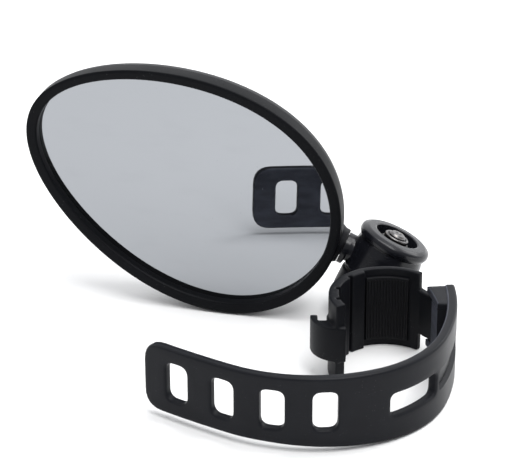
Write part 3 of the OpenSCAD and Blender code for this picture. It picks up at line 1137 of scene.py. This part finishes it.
@dataclass
class Strap:
    """The silicone strap: a bent plate with slots, a window and a grooved end round the lug."""

    width: float = 21.2
    thickness: float = 3.0
    edge: float = 0.85
    tip: tuple[float, float] = (-69.4, -23.7)
    tip_heading: float = 36.0
    tip_round: float = 6.0
    tip_margin: float = 7.5
    runs: tuple[tuple[float, float], ...] = ((28, -6), (44, -53), (30, -48), (31, -24))
    slot_count: int = 4
    slot_pitch: float = 15.1
    slot_size: tuple[float, float] = (7.2, 12.0)
    slot_round: float = 2.6
    window: tuple[float, float] = (75.5, 94.0)
    groove: tuple[float, float] = (95.5, 124.0)
    groove_height: float = 7.0
    groove_depth: float = 1.2
    root_length: float = 12.0
    root_depth: float = 5.7
    root_rise: float = 2.3
    lug_tip: tuple[float, float] = (16.8, 5.0)
    lug_radius: float = 2.0
    lug_room: float = 7.5
    lug_mouth: tuple[float, float] = (100.0, 160.0)
    middle: tuple[float, float] = (-25.0, 5.0)
    flare: float = 2.2
    flare_start: float = -35.0
    flare_run: float = 45.0

    @property
    def length(self) -> float:
        """Length of the strap along its outer face."""
        return sum(length for length, _ in self.runs)

    def at(self, s: float, z: float, depth: float) -> Vector:
        """The place of a point of the strap.

        Args:
            s: Distance from the tip along the outer face.
            z: Height above the strap's middle.
            depth: Distance under the outer face.

        Returns:
            The point in the CAD's frame.
        """
        spot, heading, left = Vector((*self.tip, 0)), math.radians(self.tip_heading), s
        for k, (length, turn) in enumerate(self.runs):
            last = k == len(self.runs) - 1
            run = left if last else min(left, length)
            bend = math.radians(turn) / length
            end = heading + bend * run
            dx, dy = math.sin(end) - math.sin(heading), math.cos(end) - math.cos(heading)
            spot += Vector((dx, dy, 0)) / bend
            heading, left = end, left - run
            if left <= 0 and not last:
                break
        return spot + depth * Vector((math.sin(heading), math.cos(heading), 0)) + Vector((0, 0, z))

    def deeper(self, s: float) -> float:
        """How much lower the strap's lower edge is at that distance from the tip."""
        share = (self.at(s, 0, 0).x - self.flare_start) / self.flare_run
        return self.flare * min(max(share, 0), 1) if s > self.runs[0][0] else 0

    def outline(self) -> list[Vector]:
        """The flat strap's outline, as distance along it and height."""
        half, r, end = self.width / 2, self.tip_round, self.length
        lower = [(s, -half - self.deeper(s), 0) for s in range(30, int(end) - 3, 3)]
        return softened([
            (0, -half, r), *lower, (end, -half - self.flare, 1.2), (end, half, 1.2), (0, half, r),
        ])

    def slots(self) -> list[list[Vector]]:
        """The adjustment slots and the window."""
        wide, high = self.slot_size[0] / 2, self.slot_size[1] / 2
        openings = []
        for i in range(self.slot_count):
            middle = self.tip_margin + wide + i * self.slot_pitch
            openings.append((middle - wide, middle + wide, 0, high, self.slot_round))
        openings.append((*self.window, -self.flare / 2, self.groove_height / 2, 2.0))
        return [
            softened([(a, m - h, r), (b, m - h, r), (b, m + h, r), (a, m + h, r)])
            for a, b, m, h, r in openings
        ]

    def groove_loop(self, inset: float) -> list[Vector]:
        """The groove's outline, moved inwards by inset."""
        a, b, h = self.groove[0] + inset, self.groove[1] - inset, self.groove_height / 2 - inset
        low, high, r = -self.flare / 2 - h, -self.flare / 2 + h, 1.2
        return softened([(a, low, r), (b, low, r), (b, high, r), (a, high, r)])

    def groove_dip(self, points: np.ndarray) -> np.ndarray:
        """How far the groove sinks the outer face at each flat point."""
        ramp = 0.5
        loop = Plate.dense(self.groove_loop(0))
        share = np.clip(Plate.distance(points, [loop]) / ramp, 0, 1)
        share = share * share * (3 - 2 * share)
        return np.where(Plate.inside(points, loop), share * self.groove_depth, 0)

    def band(self) -> Shape:
        """The strap's main band."""
        marks = [self.groove_loop(0), self.groove_loop(0.25), self.groove_loop(0.5)]
        plate = Plate(self.outline(), self.slots(), self.thickness, self.edge, marks=marks)
        return plate.shape(self.at, self.groove_dip)

    def root(self) -> Shape:
        """The thick end that snaps over the lug's round edge."""
        start, end = self.length - self.root_length, self.length
        under = self.thickness - 0.6
        steps, cup_steps = 10, 24
        stations = [start + (end - start) * i / steps for i in range(steps + 1)]
        back = [self.at(s, 0, under).xy for s in stations]
        rise = self.root_rise / self.root_length
        front = [
            self.at(s, 0, self.root_depth + rise * (s - start)).xy for s in reversed(stations)
        ]
        centre, bore = Vector(self.lug_tip), self.lug_radius + 0.06
        mouth = [math.radians(a) for a in self.lug_mouth]
        away = [f for f in front if not mouth[0] < math.atan2(*(f - centre).yx) < mouth[1]]
        split = next(i for i, f in enumerate(away) if math.atan2(*(f - centre).yx) >= mouth[1])
        sweep = 2 * math.pi - (mouth[1] - mouth[0])
        cup = []
        for i in range(cup_steps + 1):
            angle = mouth[0] - sweep * i / cup_steps
            cup.append(centre + bore * Vector((math.cos(angle), math.sin(angle))))
        half, room = (self.width - 1.2) / 2, self.lug_room
        layers = [
            (back + away[:split] + cup + away[split:], -room - 0.1, room + 0.1, 0.1),
            (back + front, room, half, 0.5), (back + front, -half, -room, 0.5),
        ]
        solid = Shape([], [])
        for outline, low, high, edge in layers:
            plate = Plate(outline, [], high - low, edge, 1.2)
            solid += plate.shape(lambda x, y, depth, top=high: Vector((x, y, top - depth)))
        return solid

    def build(self) -> None:
        """Makes the strap, and marks the side that faces the handlebar."""
        strap = mesh_object("silicone_strap", self.band() + self.root(), 50)
        # The mark picks the faces that the silicone finish paints lighter, as painted light.
        mark = strap.data.attributes.new("inner_side", "FLOAT", "FACE")
        for face, item in zip(strap.data.polygons, mark.data):
            towards = Vector((*self.middle, 0)) - face.center / MM
            towards.z = 0
            item.value = float(face.normal.dot(towards.normalized()) > 0.5)
        dress(strap, SILICONE, Body.STRAP, "strap")


# ---------------------------------------------------------------- studio


@dataclass
class Softbox:
    """A square area light that looks at the object."""

    name: str
    place: tuple[float, float, float]
    size: float
    power: float

    def build(self) -> None:
        """Makes the light."""
        light = bpy.data.lights.new(self.name, "AREA")
        light.shape, light.size, light.energy = "SQUARE", self.size, self.power
        lamp = placed(self.name, light)
        lamp.location = self.place
        lamp.rotation_euler = (-Vector(self.place)).to_track_quat("-Z", "Y").to_euler()


@dataclass
class Studio:
    """The pale floor, the soft light and the camera."""

    camera_place: tuple[float, float, float] = (-0.0353, -0.6109, 0.3426)
    camera_pitch: float = 26.84
    lens: float = 163.7
    sensor: float = 36.0
    floor_size: float = 30.0
    front_tone: float = 0.45
    back_tone: float = 1.45
    dim_until: float = -0.5
    bright_from: float = 0.8
    room_colour: Colour = (0.97, 0.98, 1.0)

    def floor(self) -> None:
        """Makes the floor under the object."""
        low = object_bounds()[0].z
        half = self.floor_size / 2
        corners = [(-half, -half), (half, -half), (half, half), (-half, half)]
        mesh = bpy.data.meshes.new("floor")
        mesh.from_pydata([(x, y, low) for x, y in corners], [], [(0, 1, 2, 3)])
        floor = placed("floor", mesh)
        graph = Graph("floor_paper")
        tone = graph.blend(graph.noise(400, 2), (0.90, 0.90, 0.90), (0.92, 0.92, 0.92))
        graph.surface(Base_Color=tone, Roughness=0.9, Specular_IOR_Level=0.1)
        mesh.materials.append(graph.material)
        floor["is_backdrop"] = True

    def world(self) -> None:
        """Sets the room's light: dim in front of the object, and bright behind and above it."""
        world = bpy.data.worlds.new("room")
        world.use_nodes = True
        room = Tree(world.node_tree)
        direction = room.node("ShaderNodeTexCoord", {}, {}).outputs["Generated"]
        split = room.node("ShaderNodeSeparateXYZ", {}, {0: direction})
        inputs = {
            "Value": split.outputs["Y"], "From Min": self.dim_until, "From Max": self.bright_from,
            "To Min": self.front_tone, "To Max": self.back_tone,
        }
        tone = room.node("ShaderNodeMapRange", {"interpolation_type": "SMOOTHSTEP"}, inputs)
        background = world.node_tree.nodes["Background"]
        room.feed(background.inputs["Strength"], tone.outputs["Result"])
        room.feed(background.inputs["Color"], (*self.room_colour, 1))
        bpy.context.scene.world = world

    def camera(self) -> None:
        """Makes the camera."""
        data = bpy.data.cameras.new("camera")
        data.lens, data.sensor_width = self.lens, self.sensor
        data.clip_start, data.clip_end = 0.01, 100
        camera = placed("camera", data)
        camera.location = self.camera_place
        camera.rotation_euler = (math.radians(90 - self.camera_pitch), 0, 0)
        bpy.context.scene.camera = camera

    def build(self) -> None:
        """Makes the whole studio."""
        self.camera()
        self.world()
        self.floor()
        for box in (
            Softbox("overhead", (0.2, 0.0, 1.1), 0.7, 9.0),
            Softbox("above_front", (0.3, -0.55, 1.0), 0.35, 4.0),
            Softbox("left_side", (-1.0, 0.1, 0.7), 0.5, 2.0),
            Softbox("right_back", (0.8, 0.7, 0.6), 0.5, 3.0),
        ):
            box.build()
        bpy.context.scene.view_settings.view_transform = "Standard"


def main() -> None:
    """Builds the mirror and its studio."""
    logging.basicConfig(level=logging.INFO, format="%(message)s")
    knuckle = Knuckle()
    arm = Arm(knuckle)
    for assembly in (Studio(), Clamp(), knuckle, arm, Head(arm), Strap()):
        assembly.build()
        log.info("%s is built", type(assembly).__name__)


if __name__ == "__main__":
    main()
